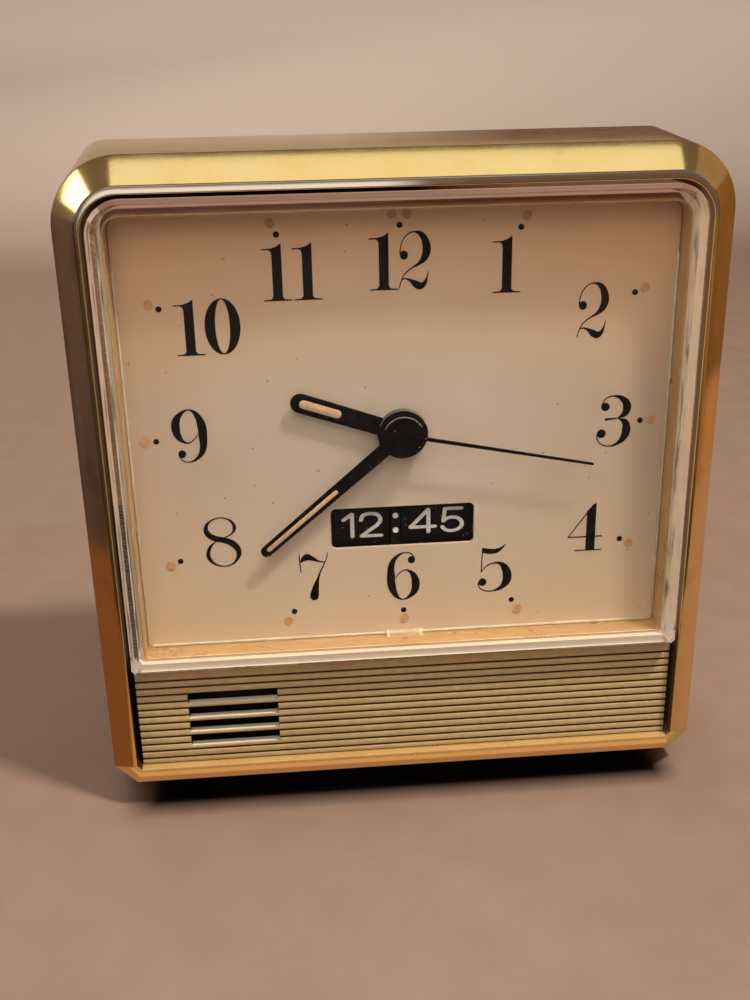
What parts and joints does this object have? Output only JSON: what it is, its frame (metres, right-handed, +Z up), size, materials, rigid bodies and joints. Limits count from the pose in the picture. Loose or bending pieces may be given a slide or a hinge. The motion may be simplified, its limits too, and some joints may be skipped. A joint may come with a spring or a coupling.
{
  "type": "travel alarm clock",
  "caption": "Free-standing quartz travel alarm clock with a bevelled gold bezel, box crystal, champagne dial, black hands, alarm drums in a window and a ribbed sound panel.",
  "frame": {"origin": "on the table under the middle of the clock, halfway between crystal front and knob end", "axes": "+Z up, +X to the right as the face is read, the face looks towards -Y and the back towards +Y"},
  "size_m": [0.0786, 0.034, 0.0839],
  "materials": {
    "gold_plate": "polished gold plate with fine wear",
    "clear_acrylic": "clear moulded acrylic",
    "champagne": "satin champagne lacquer",
    "beige_plastic": "moulded beige plastic, ribbed",
    "black_frame": "moulded black plastic",
    "black_cover": "fine grained black plastic",
    "black_lacquer": "gloss black lacquer",
    "lume": "aged luminous paint",
    "drum_black": "black drum with light grey figures",
    "wheel_nylon": "white nylon",
    "steel": "turned steel",
    "brass_plain": "turned brass",
    "movement_grey": "grey moulded plastic",
    "board_green": "green circuit board",
    "copper_wire": "enamelled copper wire",
    "cell_label": "plain printed label",
    "foot_rubber": "black rubber"
  },
  "bodies": {
    "case": {"bezel_frame": "gold_plate", "crystal": "clear_acrylic", "dial": "champagne", "dial_rim": "gold_plate", "grille_panel": "beige_plastic", "front_frame": "black_frame", "back_cover": "black_cover", "battery_cell": "cell_label", "contact_spring": "steel", "contact_plate": "steel", "case_screws": "steel", "feet": "foot_rubber", "main_plate": "movement_grey", "movement_cover": "movement_grey", "plate_screws": "steel", "circuit_board": "board_green", "chip": "drum_black", "quartz_can": "steel", "coil_bobbin": "wheel_nylon", "coil_winding": "copper_wire", "stator": "steel", "drum_bracket_left": "movement_grey", "drum_bracket_right": "movement_grey", "buzzer_ring": "black_frame", "buzzer_disc": "brass_plain"},
    "battery_lid": {"battery_door": "black_cover"},
    "switch": {"alarm_switch": "black_cover"},
    "motor_rotor": {"rotor": "wheel_nylon"},
    "intermediate": {"intermediate_wheel": "wheel_nylon"},
    "seconds": {"second_wheel": "wheel_nylon", "second_hand": "black_lacquer", "hand_cap": "black_lacquer"},
    "third": {"third_wheel": "wheel_nylon"},
    "centre": {"centre_wheel": "wheel_nylon"},
    "minutes": {"cannon_pinion": "brass_plain", "minute_hand": "black_lacquer", "minute_lume": "lume"},
    "motion": {"minute_wheel": "wheel_nylon"},
    "hours": {"hour_wheel": "brass_plain", "hour_hand": "black_lacquer", "hour_lume": "lume"},
    "time_set": {"time_set_shaft": "steel", "time_set_knob": "black_cover"},
    "alarm_minutes": {"minute_drum": "drum_black", "drum_shaft": "steel"},
    "alarm_hours": {"hour_drum": "drum_black"},
    "alarm_reduction": {"alarm_idler": "wheel_nylon"},
    "alarm_set": {"alarm_set_wheel": "black_cover"}
  },
  "joints": [
    {"name": "battery_lid_pull", "type": "slide", "parent": "case", "child": "battery_lid", "axis": [0, 1, 0], "range_m": [0, 0.02]},
    {"name": "switch_slide", "type": "slide", "parent": "case", "child": "switch", "axis": [1, 0, 0], "range_m": [0, 0.004]},
    {"name": "rotor_spin", "type": "hinge", "parent": "case", "child": "motor_rotor", "pos_m": [0.0069, 0, 0.05436], "axis": [0, 1, 0], "continuous": true},
    {"name": "intermediate_spin", "type": "hinge", "parent": "case", "child": "intermediate", "pos_m": [0.00347, 0, 0.05312], "axis": [0, 1, 0], "continuous": true},
    {"name": "second_spin", "type": "hinge", "parent": "case", "child": "seconds", "pos_m": [0, 0, 0.0502], "axis": [0, 1, 0], "continuous": true},
    {"name": "third_spin", "type": "hinge", "parent": "case", "child": "third", "pos_m": [-0.00221, 0, 0.05403], "axis": [0, 1, 0], "continuous": true},
    {"name": "centre_spin", "type": "hinge", "parent": "case", "child": "centre", "pos_m": [0, 0, 0.0502], "axis": [0, 1, 0], "continuous": true},
    {"name": "minute_spin", "type": "hinge", "parent": "case", "child": "minutes", "pos_m": [0, 0, 0.0502], "axis": [0, 1, 0], "continuous": true},
    {"name": "motion_spin", "type": "hinge", "parent": "case", "child": "motion", "pos_m": [-0.00475, 0, 0.0502], "axis": [0, 1, 0], "continuous": true},
    {"name": "hour_spin", "type": "hinge", "parent": "case", "child": "hours", "pos_m": [0, 0, 0.0502], "axis": [0, 1, 0], "continuous": true},
    {"name": "time_set_spin", "type": "hinge", "parent": "case", "child": "time_set", "pos_m": [-0.00887, 0, 0.05258], "axis": [0, 1, 0], "continuous": true},
    {"name": "alarm_minute_spin", "type": "hinge", "parent": "case", "child": "alarm_minutes", "pos_m": [0, 0.0004, 0.03735], "axis": [1, 0, 0], "continuous": true},
    {"name": "alarm_hour_spin", "type": "hinge", "parent": "case", "child": "alarm_hours", "pos_m": [0, 0.0004, 0.03735], "axis": [1, 0, 0], "continuous": true},
    {"name": "alarm_idler_spin", "type": "hinge", "parent": "case", "child": "alarm_reduction", "pos_m": [0, 0.0004, 0.03135], "axis": [1, 0, 0], "continuous": true},
    {"name": "alarm_set_spin", "type": "hinge", "parent": "case", "child": "alarm_set", "pos_m": [0, 0.0096, 0.03735], "axis": [1, 0, 0], "continuous": true}
  ],
  "couplings": [
    {"joint": "intermediate_spin", "follows": "rotor_spin", "ratio": -0.16667},
    {"joint": "second_spin", "follows": "rotor_spin", "ratio": 0.033333},
    {"joint": "third_spin", "follows": "rotor_spin", "ratio": -0.0044444},
    {"joint": "centre_spin", "follows": "rotor_spin", "ratio": 0.00055556},
    {"joint": "motion_spin", "follows": "minute_spin", "ratio": -0.33333},
    {"joint": "hour_spin", "follows": "minute_spin", "ratio": 0.083333},
    {"joint": "time_set_spin", "follows": "minute_spin", "ratio": 1},
    {"joint": "alarm_idler_spin", "follows": "alarm_minute_spin", "ratio": -0.33333},
    {"joint": "alarm_hour_spin", "follows": "alarm_minute_spin", "ratio": 0.083333},
    {"joint": "alarm_set_spin", "follows": "alarm_minute_spin", "ratio": -1.5}
  ]
}
